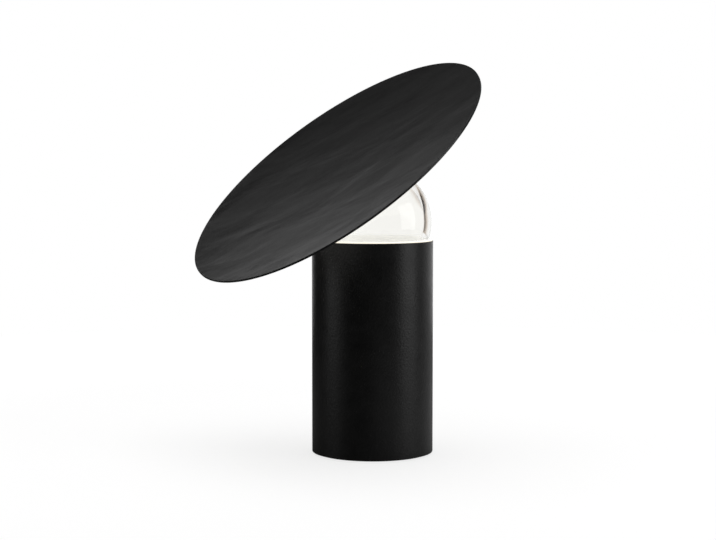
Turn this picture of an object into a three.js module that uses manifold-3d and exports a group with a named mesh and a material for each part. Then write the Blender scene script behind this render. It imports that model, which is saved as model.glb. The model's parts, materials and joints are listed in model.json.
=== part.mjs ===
// A table lamp: an upright black tube, a thick clear glass ball that turns in the mouth of the tube,
// and a wide dished disc that stands on the ball and throws the light back down.
// Units are millimetres. +Z is up, and the origin is the middle of the underside of the foot.
// The tube's back, with its inlet and its switch, faces +Y.

import * as THREE from "three";
import { mergeVertices } from "three/addons/utils/BufferGeometryUtils.js";
import Module from "manifold-3d";

const wasm = await Module();
wasm.setup();

// Driving dimensions: the tube
const tubeDiameter = 120;
const rimHeight = 210.75; // from the table to the rim of the tube
const endWall = 3.2; // wall of the tube in its two counterbored ends
const waistWall = 5; // wall of the tube between the counterbores
const tubeChamfer = 0.8; // broken outer edges of the tube
const mouthChamfer = 0.4; // broken inner edge of the mouth

// Gaps
const fit = 0.3; // round a piece that goes into another, and between pieces that touch in the tilted head
const bed = 0.1; // between level faces that bear on each other

// Driving dimensions: the foot and what stands on it
const footThickness = 2;
const footProud = 1; // how far the foot holds the tube off the table
const basePlateThickness = 6;
const ballastHeight = 22;
const ballastMargin = 1; // from the ballast to the rods
const slotWidth = 20; // slot in the ballast, behind the inlet
const slotRoom = 10; // from the inlet's rear end to the bottom of the slot

// Driving dimensions: rods and screws
const rodDiameter = 6;
const rodMargin = 1.5; // from a rod to the waist of the tube
const rodAngles = [30, 150, 270]; // degrees round the tube, clear of the back
const tapDepth = 12; // depth of the tapped bores
const tapRoom = 1.5; // from the end of a screw to the bottom of its bore
const studLength = 14; // stud of an upper rod, through the heat sink into the lower rod
const screwDiameter = 4;
const screwLength = 14;
const screwHeadDiameter = 7.4;
const headLand = 0.4; // straight edge of a countersunk head

// Driving dimensions: the ball and its seat
const ballRise = 18.5; // centre of the ball above the rim of the tube
const glassWall = 8;
const ballOpening = 40; // diameter of the opening under the hub
const seatWidth = 7; // radial width of the seat ring
const seatLip = 8; // height of the seat ring's inner wall
const collarThickness = 1.4; // collar of the seat ring, which lies on the rim of the tube
const collarInset = 0.8; // from the outside of the tube in to the edge of the collar
const carrierThickness = 5;
const carrierMargin = 1; // material of the carrier inside its screw heads

// Driving dimensions: the light source
const lampWell = 13.8; // from the heat sink's top face up to the ball
const sinkThickness = 5;
const finHeight = 22;
const finThickness = 2;
const finPitch = 8;
const finCount = 6;
const finCircle = 80; // diameter of the circle that the fins fill
const finRoot = 0.5; // how deep a fin is rooted in the plate
const boardDiameter = 36;
const boardThickness = 1.6;
const chipDiameter = 14;
const chipThickness = 1;
const holderThickness = 2.2;
const holderWall = 4;
const lensDiameter = 18.4;
const lensLedge = 1.2; // how far the lens rests on the holder
const lensEdge = 0.9;
const lensCrown = 2.2;
const lampScrewDiameter = 2.5;
const lampScrewHead = 4.6;
const lampScrewHeadHeight = 1.5;
const lampScrewLength = 9;
const lampScrewCircle = 28; // diameter of the circle of the two screws
const cupWall = 1.2;
const cupGap = 2; // from the white bowl to the ball
const cupWell = 40; // inner diameter of the neck round the light source

// Driving dimensions: the driver
const trayLength = 60;
const trayWidth = 40;
const trayThickness = 2;
const trayShift = -4; // middle of the tray along Y
const trayScrewLength = 12;
const trayScrewHeadHeight = 2;
const postHeight = 5;
const postDiameter = 6;
const postInset = 5; // from the edge of the tray to the middle of a post
const driverBoardLength = 56;
const driverBoardWidth = 36;
const inductorDiameter = 18;
const inductorHeight = 12;
const capacitorDiameter = 11;
const capacitorHeight = 15;
const terminalLength = 24;
const terminalWidth = 8;
const terminalHeight = 10;
const componentGap = 1; // between the driver's components
const leadDiameter = 2.2;
const leadSpacing = 8;

// Driving dimensions: the inlet in the tube's back
const inletHeight = 19;
const inletDiameter = 10;
const inletDepth = 22; // from the tube's outside to the inlet's rear end
const inletFlange = 13;
const inletFlangeThickness = 1.5;
const inletBore = 6.4;
const inletBoreDepth = 9;
const inletPinDiameter = 2;
const inletPinRecess = 1; // from the flange's face down to the tip of the pin
const inletNutAcross = 14; // across the nut's corners
const nutThickness = 3;

// Driving dimensions: the push button above the inlet
const switchHeight = 62;
const switchDiameter = 14;
const bezelDiameter = 18;
const bezelThickness = 2;
const switchDepth = 18;
const switchNutAcross = 20;
const buttonDiameter = 8.6;
const buttonProud = 2.5; // how far the button stands out of the bezel
const buttonFlangeDiameter = 10;
const buttonFlangeThickness = 2;
const buttonTravel = 2;
const frontBoreDepth = 5; // narrow bore in front of the button's flange
const springWire = 0.6;
const springTurns = 3;
const springSlack = 1.4; // room left in the closed spring
const switchBaseLength = 4;

// Driving dimensions: the hub and the disc
const hubDiameter = 44;
const hubThickness = 1.9;
const spigotDiameter = 26;
const spigotLength = 13; // below the hub's flange
const clampThickness = 3.8;
const gasketSquash = 0.2; // gap between the gasket's faces and what clamps it
const socketDiameter = 12.6;
const magnetThickness = 4;
const socketFloor = 3;
const discDiameter = 331.5;
const discThickness = 2;
const dishDepth = 8.6;
const discTilt = 39.32; // degrees from level
const discHeading = 211.05; // degrees round Z from +X, where the disc leans to

// Facets round the turned pieces
const fine = 60; // the tube and the disc
const seatFacets = 48;
const medium = 36; // the ball and the wide pieces inside the tube
const coarse = 24; // the hub and pieces of its size
const small = 12; // rods, screws and their holes
const past = 1; // how far a cutter reaches past the face that it cuts

// Places that follow from the driving dimensions
const tubeRadius = tubeDiameter / 2;
const boreRadius = tubeRadius - endWall;
const waistRadius = tubeRadius - waistWall;
const insertRadius = boreRadius - fit;
const tubeFoot = footProud;
const plateBottom = footThickness + bed;
const plateTop = plateBottom + basePlateThickness;
const lowerShoulder = plateTop + bed;

const ballRadius = Math.hypot(insertRadius, ballRise);
const glassInnerRadius = ballRadius - glassWall;
const ballHeight = rimHeight + ballRise;
const seatInner = insertRadius - seatWidth;
const seatRadius = ballRadius + fit;
const collarBottom = rimHeight + bed;
const collarRadius = tubeRadius - collarInset;
const seatTop = collarBottom + collarThickness;
const seatBottom = heightOnSphere(seatRadius, seatInner) - seatLip;
const carrierTop = seatBottom - bed;
const carrierBottom = carrierTop - carrierThickness;
const upperShoulder = carrierBottom - bed;

const rodRadius = rodDiameter / 2;
const rodCircle = waistRadius - rodRadius - rodMargin;
const carrierInner = rodCircle - screwHeadDiameter / 2 - fit - carrierMargin;
const screwRadius = screwDiameter / 2;
const tapRadius = screwRadius + fit;
const sinkTop = ballHeight - ballRadius - lampWell;
const sinkBottom = sinkTop - sinkThickness;
const ballastBottom = plateTop + bed;
const ballastTop = ballastBottom + ballastHeight;
const ballastRadius = rodCircle - rodRadius - ballastMargin;

const lampBottom = sinkTop + bed;
const lampBoardTop = lampBottom + boardThickness;
const holderBottom = lampBoardTop + bed;
const holderTop = holderBottom + holderThickness;
const holderInner = boardDiameter / 2 + fit;
const holderOuter = holderInner + holderWall;
const lensBottom = holderTop - lensEdge;
const leadHole = holderOuter + 2 * leadDiameter; // from the axis to the hole in the heat sink

const trayBottom = ballastTop + bed;
const trayTop = trayBottom + trayThickness;
const driverBottom = trayTop + postHeight + bed;
const driverTop = driverBottom + boardThickness;
const trayScrewX = trayLength / 2 - postInset - postDiameter;
const terminalBack = trayShift + driverBoardWidth / 2;
const terminalMiddle = driverTop + terminalHeight / 2;

const inletRear = tubeRadius - inletDepth;
const switchFace = tubeRadius + fit + bezelThickness;
const switchRear = tubeRadius - switchDepth;
const flangeFront = switchFace - frontBoreDepth - fit;
const flangeBack = flangeFront - buttonFlangeThickness;
const springLength = buttonTravel + springSlack + springWire * springTurns;
const springBack = flangeBack - fit - springLength;
const switchBaseFront = springBack - fit;

// The head's own frame has the ball's centre as its origin and the disc's axis as +Z.
const openingRadius = ballOpening / 2;
const openingTop = Math.sqrt(ballRadius ** 2 - openingRadius ** 2);
const openingBottom = Math.sqrt(glassInnerRadius ** 2 - openingRadius ** 2);
const hubBottom = openingTop + fit;
const hubTop = hubBottom + hubThickness;
const spigotBottom = hubBottom - spigotLength;
const clampTop = openingBottom - fit;
const gasketBottom = clampTop + gasketSquash;
const socketBottom = spigotBottom + socketFloor;
const magnetBottom = socketBottom + fit;
const magnetTop = magnetBottom + magnetThickness;
const studRadius = socketDiameter / 2 - fit;
const studBottom = magnetTop + fit;
const discUnderside = hubTop + fit;
const studTop = discUnderside - fit;
const discRadius = discDiameter / 2;
const dishRadius = (discRadius ** 2 + dishDepth ** 2) / (2 * dishDepth);

// Height, below the ball's centre, at which a sphere round that centre is so far from the tube's axis.
function heightOnSphere(sphereRadius, radius) {
  return ballHeight - Math.sqrt(sphereRadius ** 2 - radius ** 2);
}

// Points of an arc round (0, middle), from one angle to another, in radians up from the horizontal.
function arc(radius, middle, from, to, steps) {
  return Array.from({ length: steps + 1 }, (_, i) => {
    const angle = from + ((to - from) * i) / steps;
    const r = Math.abs(angle) === Math.PI / 2 ? 0 : radius * Math.cos(angle);
    return [r, middle + radius * Math.sin(angle)];
  });
}

// A turned piece. The profile is a list of [radius, height], counterclockwise.
function turned(profile, segments, closed = false) {
  const points = profile.map(([r, z]) => new THREE.Vector2(r, z));
  if (closed) points.push(points[0].clone());
  return new THREE.LatheGeometry(points, segments).rotateX(Math.PI / 2);
}

// A plain turned disc or rod between two heights.
function rod(radius, bottom, top, segments) {
  return turned([[0, bottom], [radius, bottom], [radius, top], [0, top]], segments);
}

// A plain turned ring between two heights.
function ring(inner, outer, bottom, top, segments) {
  return turned([[inner, bottom], [outer, bottom], [outer, top], [inner, top]], segments, true);
}

// A box between two corners.
function block(low, high) {
  const size = high.map((value, i) => value - low[i]);
  const middle = high.map((value, i) => (value + low[i]) / 2);
  return new THREE.BoxGeometry(...size).translate(...middle);
}

// Turns a piece made along +Z so that it runs along +Y, at a height on the tube's back.
function onTheBack(geometry, height) {
  return geometry.rotateX(-Math.PI / 2).translate(0, 0, height);
}

// A six-sided nut with a round hole, between two heights.
function hexNut(across, hole, bottom, top) {
  const outline = new THREE.Shape();
  for (let corner = 0; corner < 6; corner++) {
    const angle = (corner * Math.PI) / 3;
    const point = [(across / 2) * Math.cos(angle), (across / 2) * Math.sin(angle)];
    if (corner === 0) outline.moveTo(...point);
    else outline.lineTo(...point);
  }
  outline.holes.push(new THREE.Path().absarc(0, 0, hole / 2, 0, 2 * Math.PI, true));
  const settings = { depth: top - bottom, bevelEnabled: false, curveSegments: small };
  return new THREE.ExtrudeGeometry(outline, settings).translate(0, 0, bottom);
}

// A round wire along a curve.
function wire(curve, diameter, sides, steps) {
  const section = new THREE.Shape();
  for (let side = 0; side < sides; side++) {
    const angle = (side * 2 * Math.PI) / sides;
    const point = [(diameter / 2) * Math.cos(angle), (diameter / 2) * Math.sin(angle)];
    if (side === 0) section.moveTo(...point);
    else section.lineTo(...point);
  }
  return new THREE.ExtrudeGeometry(section, { steps, extrudePath: curve, bevelEnabled: false });
}

// A smooth lead through a list of points.
function lead(points, steps) {
  const curve = new THREE.CatmullRomCurve3(points.map((p) => new THREE.Vector3(...p)), false, "centripetal");
  return wire(curve, leadDiameter, 6, steps);
}

// Joining and cutting work on solids, which are made from closed geometries and turned back afterwards.
function toSolid(geometry) {
  const bare = new THREE.BufferGeometry();
  const flat = geometry.index ? geometry.toNonIndexed() : geometry;
  bare.setAttribute("position", flat.getAttribute("position"));
  const merged = mergeVertices(bare, 1e-4);
  const mesh = new wasm.Mesh({
    numProp: 3,
    vertProperties: merged.attributes.position.array,
    triVerts: new Uint32Array(merged.index.array),
  });
  return new wasm.Manifold(mesh);
}

function toGeometry(solid) {
  const mesh = solid.getMesh();
  const geometry = new THREE.BufferGeometry();
  geometry.setAttribute("position", new THREE.BufferAttribute(mesh.vertProperties, 3));
  geometry.setIndex(new THREE.BufferAttribute(mesh.triVerts, 1));
  return geometry;
}

function cut(geometry, ...cutters) {
  return toGeometry(cutters.reduce((solid, cutter) => solid.subtract(toSolid(cutter)), toSolid(geometry)));
}

function join(geometry, ...others) {
  return toGeometry(others.reduce((solid, other) => solid.add(toSolid(other)), toSolid(geometry)));
}

// A countersunk screw with its flat face at height 0 and its shank up, grown by a gap where it cuts its hole.
function countersunk(length, gap) {
  const head = screwHeadDiameter / 2 + gap;
  const shank = screwRadius + gap;
  const face = gap > 0 ? -past : 0;
  return turned(
    [
      [0, face],
      [head, face],
      [head, headLand],
      [shank, headLand + head - shank],
      [shank, length],
      [0, length],
    ],
    small,
  );
}

// Places on the circle of the rods.
const rodPlaces = rodAngles.map((degrees) => {
  const angle = THREE.MathUtils.degToRad(degrees);
  return [rodCircle * Math.cos(angle), rodCircle * Math.sin(angle)];
});

const blackCoat = { color: 0x141415, roughness: 0.62, metalness: 0.2 };
const blackAnodised = { color: 0x1c1c1e, roughness: 0.38, metalness: 0.7 };
const blackPlastic = { color: 0x1a1a1a, roughness: 0.55, metalness: 0 };
const whitePlastic = { color: 0xf1efe8, roughness: 0.6, metalness: 0 };
const seatSilicone = { color: 0xf0ece1, roughness: 0.7, metalness: 0 };
const rubber = { color: 0x222222, roughness: 0.9, metalness: 0 };
const clearGlass = { color: 0xf4f6f4, roughness: 0.03, metalness: 0, transparent: true, opacity: 0.3 };
const frostedLens = { color: 0xfff1dc, roughness: 0.6, metalness: 0 };
const aluminium = { color: 0xb9bbbd, roughness: 0.35, metalness: 0.9 };
const zincSteel = { color: 0xa9aaac, roughness: 0.4, metalness: 0.9 };
const castIron = { color: 0x3b3b3c, roughness: 0.75, metalness: 0.6 };
const circuitBoard = { color: 0x1f5a38, roughness: 0.5, metalness: 0 };
const phosphor = { color: 0xf2d24b, roughness: 0.5, metalness: 0 };
const magnetNickel = { color: 0xc4c1b8, roughness: 0.25, metalness: 1 };

const lamp = new THREE.Group();
const head = new THREE.Group();
head.position.z = ballHeight;
head.rotation.set(0, THREE.MathUtils.degToRad(discTilt), THREE.MathUtils.degToRad(discHeading), "ZYX");
lamp.add(head);

function place(name, geometry, finish, group = lamp) {
  const mesh = new THREE.Mesh(geometry, new THREE.MeshStandardMaterial(finish));
  mesh.name = name;
  group.add(mesh);
}

// The tube, with a counterbore at each end and the holes for inlet and switch in its back.
function makeTube() {
  const shell = turned(
    [
      [boreRadius, tubeFoot],
      [tubeRadius - tubeChamfer, tubeFoot],
      [tubeRadius, tubeFoot + tubeChamfer],
      [tubeRadius, rimHeight - tubeChamfer],
      [tubeRadius - tubeChamfer, rimHeight],
      [boreRadius + mouthChamfer, rimHeight],
      [boreRadius, rimHeight - mouthChamfer],
      [boreRadius, upperShoulder],
      [waistRadius, upperShoulder],
      [waistRadius, lowerShoulder],
      [boreRadius, lowerShoulder],
    ],
    fine,
    true,
  );
  const hole = (diameter, height) =>
    onTheBack(rod(diameter / 2 + fit, waistRadius / 2, tubeRadius + endWall, coarse), height);
  const drilled = cut(shell, hole(inletDiameter, inletHeight), hole(switchDiameter, switchHeight));
  place("tube_body", drilled, blackCoat);
}

// The foot, the base plate with its countersunk screws, and the ballast.
function makeBase() {
  place("foot_pad", rod(insertRadius, 0, footThickness, medium), rubber);

  const screwHole = (x, y) => countersunk(basePlateThickness + past, fit).translate(x, y, plateBottom + bed);
  const plate = rod(insertRadius, plateBottom, plateTop, medium);
  place(
    "base_plate",
    cut(plate, screwHole(0, 0), ...rodPlaces.map(([x, y]) => screwHole(x, y))),
    zincSteel,
  );
  rodPlaces.forEach(([x, y], i) => {
    const screw = countersunk(screwLength, 0).translate(x, y, plateBottom + bed);
    place(`base_screw_${i + 1}`, screw, zincSteel);
  });

  const slot = block(
    [-slotWidth / 2, inletRear - slotRoom, ballastBottom - past],
    [slotWidth / 2, tubeRadius, ballastTop + past],
  );
  const centreBore = rod(tapRadius, ballastBottom - past, plateBottom + screwLength + tapRoom, small);
  const trayBores = [-trayScrewX, trayScrewX].map((x) =>
    rod(tapRadius, trayBottom - tapDepth, ballastTop + past, small).translate(x, trayShift, 0),
  );
  const weight = rod(ballastRadius, ballastBottom, ballastTop, medium);
  place("ballast", cut(weight, slot, centreBore, ...trayBores), castIron);
  place("ballast_screw", countersunk(screwLength, 0).translate(0, 0, plateBottom + bed), zincSteel);
}

// Six rods tie the base plate, the heat sink and the seat carrier together and clamp the tube between them.
function makeRods() {
  rodPlaces.forEach(([x, y], i) => {
    const lowerBottom = plateTop + bed;
    const lowerTop = sinkBottom - bed;
    const lower = turned(
      [
        [0, lowerBottom + tapDepth],
        [tapRadius, lowerBottom + tapDepth],
        [tapRadius, lowerBottom],
        [rodRadius, lowerBottom],
        [rodRadius, lowerTop],
        [tapRadius, lowerTop],
        [tapRadius, lowerTop - tapDepth],
        [0, lowerTop - tapDepth],
      ],
      small,
    );
    place(`lower_rod_${i + 1}`, lower.translate(x, y, 0), zincSteel);

    const upperBottom = sinkTop + bed;
    const upperTop = carrierBottom - bed;
    const upper = turned(
      [
        [0, upperBottom - studLength],
        [screwRadius, upperBottom - studLength],
        [screwRadius, upperBottom],
        [rodRadius, upperBottom],
        [rodRadius, upperTop],
        [tapRadius, upperTop],
        [tapRadius, upperTop - tapDepth],
        [0, upperTop - tapDepth],
      ],
      small,
    );
    place(`upper_rod_${i + 1}`, upper.translate(x, y, 0), zincSteel);
  });
}

// The finned heat sink, and on it the light source with its holder and lens.
function makeLightSource() {
  const plate = rod(waistRadius - fit, sinkBottom, sinkTop, medium);
  const fins = Array.from({ length: finCount }, (_, i) => {
    const x = (i - (finCount - 1) / 2) * finPitch;
    const reach = Math.sqrt((finCircle / 2) ** 2 - x ** 2);
    return block(
      [x - finThickness / 2, -reach, sinkBottom - finHeight],
      [x + finThickness / 2, reach, sinkBottom + finRoot],
    );
  });
  const through = (radius, x, y) => rod(radius, sinkBottom - past, sinkTop + past, small).translate(x, y, 0);
  const lampScrews = [-1, 1].map((side) => (side * lampScrewCircle) / 2);
  const lampScrewHole = lampScrewDiameter / 2 + fit;
  place(
    "heat_sink",
    cut(
      join(plate, ...fins),
      ...rodPlaces.map(([x, y]) => through(tapRadius, x, y)),
      ...lampScrews.map((x) => through(lampScrewHole, x, 0)),
      through(leadDiameter, 0, leadHole),
    ),
    aluminium,
  );

  const drilled = (geometry, bottom, top) => {
    const drill = (x) => rod(lampScrewHole, bottom - past, top + past, small).translate(x, 0, 0);
    return cut(geometry, ...lampScrews.map(drill));
  };
  place(
    "led_board",
    drilled(rod(boardDiameter / 2, lampBottom, lampBoardTop, coarse), lampBottom, lampBoardTop),
    whitePlastic,
  );
  place("led_chip", rod(chipDiameter / 2, holderBottom, holderBottom + chipThickness, coarse), phosphor);

  const lensRadius = lensDiameter / 2;
  const ledge = lensRadius - lensLedge;
  const holder = turned(
    [
      [holderInner, lampBottom],
      [holderOuter, lampBottom],
      [holderOuter, holderTop],
      [lensRadius + fit, holderTop],
      [lensRadius + fit, lensBottom - bed],
      [ledge, lensBottom - bed],
      [ledge, holderBottom],
      [holderInner, holderBottom],
    ],
    coarse,
    true,
  );
  place("led_holder", drilled(holder, lampBottom, holderTop), whitePlastic);

  const lens = [[0, lensBottom], [lensRadius, lensBottom], [lensRadius, holderTop]];
  const crownSteps = 3;
  for (let i = 1; i <= crownSteps; i++) {
    const angle = (i / crownSteps) * (Math.PI / 2);
    lens.push([i === crownSteps ? 0 : lensRadius * Math.cos(angle), holderTop + lensCrown * Math.sin(angle)]);
  }
  place("led_lens", turned(lens, coarse), frostedLens);

  lampScrews.forEach((x, i) => {
    const shank = lampScrewDiameter / 2;
    const underHead = holderTop + bed;
    const screw = turned(
      [
        [0, underHead - lampScrewLength],
        [shank, underHead - lampScrewLength],
        [shank, underHead],
        [lampScrewHead / 2, underHead],
        [lampScrewHead / 2, underHead + lampScrewHeadHeight],
        [0, underHead + lampScrewHeadHeight],
      ],
      small,
    );
    place(`led_screw_${i + 1}`, screw.translate(x, 0, 0), zincSteel);
  });
}

// The white bowl that follows the underside of the ball, with a neck down to the light source.
function makeReflectorCup() {
  const innerSphere = ballRadius + cupGap;
  const outerSphere = innerSphere + cupWall;
  const neckInner = cupWell / 2;
  const neckOuter = neckInner + cupWall;
  const lip = -Math.acos((carrierInner - fit) / outerSphere);
  const profile = [
    [neckInner, holderTop + bed],
    [neckOuter, holderTop + bed],
    ...arc(outerSphere, ballHeight, -Math.acos(neckOuter / outerSphere), lip, 3),
    ...arc(innerSphere, ballHeight, lip, -Math.acos(neckInner / innerSphere), 3),
  ];
  place("reflector_cup", turned(profile, medium, true), whitePlastic);
}

// The carrier ring, clamped on the tube's upper shoulder, and the soft ring that the ball turns in. Its collar
// lies on the rim and shows as a thin bright line.
function makeSeat() {
  const hole = (x, y) =>
    countersunk(carrierThickness + past, fit).rotateX(Math.PI).translate(x, y, carrierTop - bed);
  const carrier = ring(carrierInner, insertRadius, carrierBottom, carrierTop, medium);
  place("seat_carrier", cut(carrier, ...rodPlaces.map(([x, y]) => hole(x, y))), aluminium);
  rodPlaces.forEach(([x, y], i) => {
    const screw = countersunk(screwLength, 0).rotateX(Math.PI).translate(x, y, carrierTop - bed);
    place(`carrier_screw_${i + 1}`, screw, zincSteel);
  });

  const topAngle = -Math.asin((ballHeight - seatTop) / seatRadius);
  const lipAngle = -Math.acos(seatInner / seatRadius);
  const profile = [
    [seatInner, seatBottom],
    [insertRadius, seatBottom],
    [insertRadius, collarBottom],
    [collarRadius, collarBottom],
    [collarRadius, seatTop],
    ...arc(seatRadius, ballHeight, topAngle, lipAngle, 4),
  ];
  place("seat_ring", turned(profile, seatFacets, true), seatSilicone);
}

// The driver stands on a tray on the ballast.
function makeDriver() {
  const low = [-trayLength / 2, trayShift - trayWidth / 2, trayBottom];
  const high = [trayLength / 2, trayShift + trayWidth / 2, trayTop];
  const posts = [];
  for (const sideX of [-1, 1]) {
    for (const sideY of [-1, 1]) {
      const x = sideX * (trayLength / 2 - postInset);
      const y = trayShift + sideY * (trayWidth / 2 - postInset);
      posts.push(rod(postDiameter / 2, trayTop - finRoot, trayTop + postHeight, small).translate(x, y, 0));
    }
  }
  const screwHoles = [-trayScrewX, trayScrewX].map((x) =>
    rod(tapRadius, trayBottom - past, trayTop + past, small).translate(x, trayShift, 0),
  );
  place("driver_tray", cut(join(block(low, high), ...posts), ...screwHoles), blackPlastic);

  [-trayScrewX, trayScrewX].forEach((x, i) => {
    const underHead = trayTop + bed;
    const screw = turned(
      [
        [0, underHead - trayScrewLength],
        [screwRadius, underHead - trayScrewLength],
        [screwRadius, underHead],
        [screwHeadDiameter / 2, underHead],
        [screwHeadDiameter / 2, underHead + trayScrewHeadHeight],
        [0, underHead + trayScrewHeadHeight],
      ],
      small,
    );
    place(`tray_screw_${i + 1}`, screw.translate(x, trayShift, 0), zincSteel);
  });

  const board = block(
    [-driverBoardLength / 2, trayShift - driverBoardWidth / 2, driverBottom],
    [driverBoardLength / 2, trayShift + driverBoardWidth / 2, driverTop],
  );
  place("driver_board", board, circuitBoard);

  const onBoard = driverTop + bed;
  const frontRow = trayShift - driverBoardWidth / 2 + inductorDiameter / 2 + componentGap;
  const inductor = rod(inductorDiameter / 2, onBoard, onBoard + inductorHeight, coarse);
  place("driver_inductor", inductor.translate(-inductorDiameter, frontRow, 0), castIron);
  [0, 1].forEach((i) => {
    const capacitor = rod(capacitorDiameter / 2, onBoard, onBoard + capacitorHeight, small);
    const x = (i + 0.5) * (capacitorDiameter + componentGap);
    place(`driver_capacitor_${i + 1}`, capacitor.translate(x, frontRow, 0), blackPlastic);
  });
  const terminal = block(
    [-terminalLength / 2, terminalBack - terminalWidth, onBoard],
    [terminalLength / 2, terminalBack, onBoard + terminalHeight],
  );
  place("driver_terminal", terminal, whitePlastic);
}

// A nut's face stays clear of the round wall of the tube at the nut's corners.
function nutFace(across) {
  return Math.sqrt(waistRadius ** 2 - (across / 2) ** 2) - fit;
}

// The low-voltage inlet: a threaded body with a flange outside, a nut inside and a pin in its bore.
function makeInlet() {
  const flangeBackFace = tubeRadius + fit;
  const face = flangeBackFace + inletFlangeThickness;
  const floor = face - inletBoreDepth;
  const body = turned(
    [
      [0, inletRear],
      [inletDiameter / 2, inletRear],
      [inletDiameter / 2, flangeBackFace],
      [inletFlange / 2, flangeBackFace],
      [inletFlange / 2, face],
      [inletBore / 2, face],
      [inletBore / 2, floor],
      [0, floor],
    ],
    coarse,
  );
  place("inlet_body", onTheBack(body, inletHeight), blackPlastic);
  const pin = rod(inletPinDiameter / 2, floor + bed, face - inletPinRecess, small);
  place("inlet_pin", onTheBack(pin, inletHeight), magnetNickel);
  const nutTop = nutFace(inletNutAcross);
  const nut = hexNut(inletNutAcross, inletDiameter + 2 * fit, nutTop - nutThickness, nutTop);
  place("inlet_nut", onTheBack(nut, inletHeight), zincSteel);
}

// The push button: a housing with a bezel, the flanged button, a spring and the contact base behind it.
function makeSwitch() {
  const bezelBack = tubeRadius + fit;
  const frontBore = buttonDiameter / 2 + fit;
  const chamber = buttonFlangeDiameter / 2 + fit;
  const housing = turned(
    [
      [chamber, switchRear],
      [switchDiameter / 2, switchRear],
      [switchDiameter / 2, bezelBack],
      [bezelDiameter / 2, bezelBack],
      [bezelDiameter / 2, switchFace],
      [frontBore, switchFace],
      [frontBore, switchFace - frontBoreDepth],
      [chamber, switchFace - frontBoreDepth],
    ],
    coarse,
    true,
  );
  place("switch_housing", onTheBack(housing, switchHeight), blackAnodised);

  const button = turned(
    [
      [0, flangeBack],
      [buttonFlangeDiameter / 2, flangeBack],
      [buttonFlangeDiameter / 2, flangeFront],
      [buttonDiameter / 2, flangeFront],
      [buttonDiameter / 2, switchFace + buttonProud - fit],
      [buttonDiameter / 2 - fit, switchFace + buttonProud],
      [0, switchFace + buttonProud],
    ],
    coarse,
  );
  place("switch_button", onTheBack(button, switchHeight), blackAnodised);

  const base = rod(chamber - fit, switchBaseFront - switchBaseLength, switchBaseFront, coarse);
  place("switch_base", onTheBack(base, switchHeight), blackPlastic);
  const nutTop = nutFace(switchNutAcross);
  const nut = hexNut(switchNutAcross, switchDiameter + 2 * fit, nutTop - nutThickness, nutTop);
  place("switch_nut", onTheBack(nut, switchHeight), zincSteel);

  // The spring's wire runs on a helix. Its turns stay a pitch apart, which leaves the gap that is printed.
  const coilRadius = buttonFlangeDiameter / 2 - 2 * springWire;
  const rise = springLength - springWire;
  class Helix extends THREE.Curve {
    getPoint(t, target = new THREE.Vector3()) {
      const angle = 2 * Math.PI * springTurns * t;
      const along = springBack + springWire / 2 + rise * t;
      return target.set(coilRadius * Math.cos(angle), coilRadius * Math.sin(angle), along);
    }
  }
  console.log("gap between the spring's turns, mm:", (rise / springTurns - springWire).toFixed(2));
  const spring = wire(new Helix(), springWire, 5, 10 * springTurns);
  place("switch_spring", onTheBack(spring, switchHeight), zincSteel);
}

// The leads inside the tube run between inlet, switch, driver and light source.
function makeLeads() {
  const atTerminal = (x) => [x, terminalBack + fit, terminalMiddle];
  const offTerminal = (x) => [x, terminalBack + 2 * leadDiameter, terminalMiddle];
  const slotEnd = inletRear - slotRoom / 2;
  place(
    "inlet_lead",
    lead(
      [
        [0, inletRear - fit, inletHeight],
        [0, inletRear - leadDiameter, inletHeight],
        [-leadSpacing / 4, slotEnd, inletHeight + leadDiameter],
        [-leadSpacing / 2, slotEnd, ballastTop],
        [-leadSpacing, (slotEnd + terminalBack) / 2 + leadDiameter, driverTop],
        offTerminal(-leadSpacing),
        atTerminal(-leadSpacing),
      ],
      14,
    ),
    blackPlastic,
  );

  const switchLeadEnd = switchBaseFront - switchBaseLength - fit;
  place(
    "switch_lead",
    lead(
      [
        [0, switchLeadEnd, switchHeight],
        [0, switchLeadEnd - 2 * leadDiameter, switchHeight],
        [leadSpacing, (switchLeadEnd + terminalBack) / 2, (switchHeight + terminalMiddle) / 2],
        offTerminal(leadSpacing),
        atTerminal(leadSpacing),
      ],
      12,
    ),
    blackPlastic,
  );

  const holderSide = (lampBottom + holderTop) / 2;
  place(
    "led_lead",
    lead(
      [
        atTerminal(0),
        offTerminal(0),
        [0, leadHole - leadDiameter, switchHeight - leadDiameter],
        [0, leadHole, switchHeight + 4 * leadDiameter],
        [0, leadHole, sinkBottom - finHeight],
        [0, leadHole, sinkTop],
        [0, leadHole - leadDiameter, holderSide],
        [0, holderOuter + fit, holderSide],
      ],
      30,
    ),
    blackPlastic,
  );
}

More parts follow.
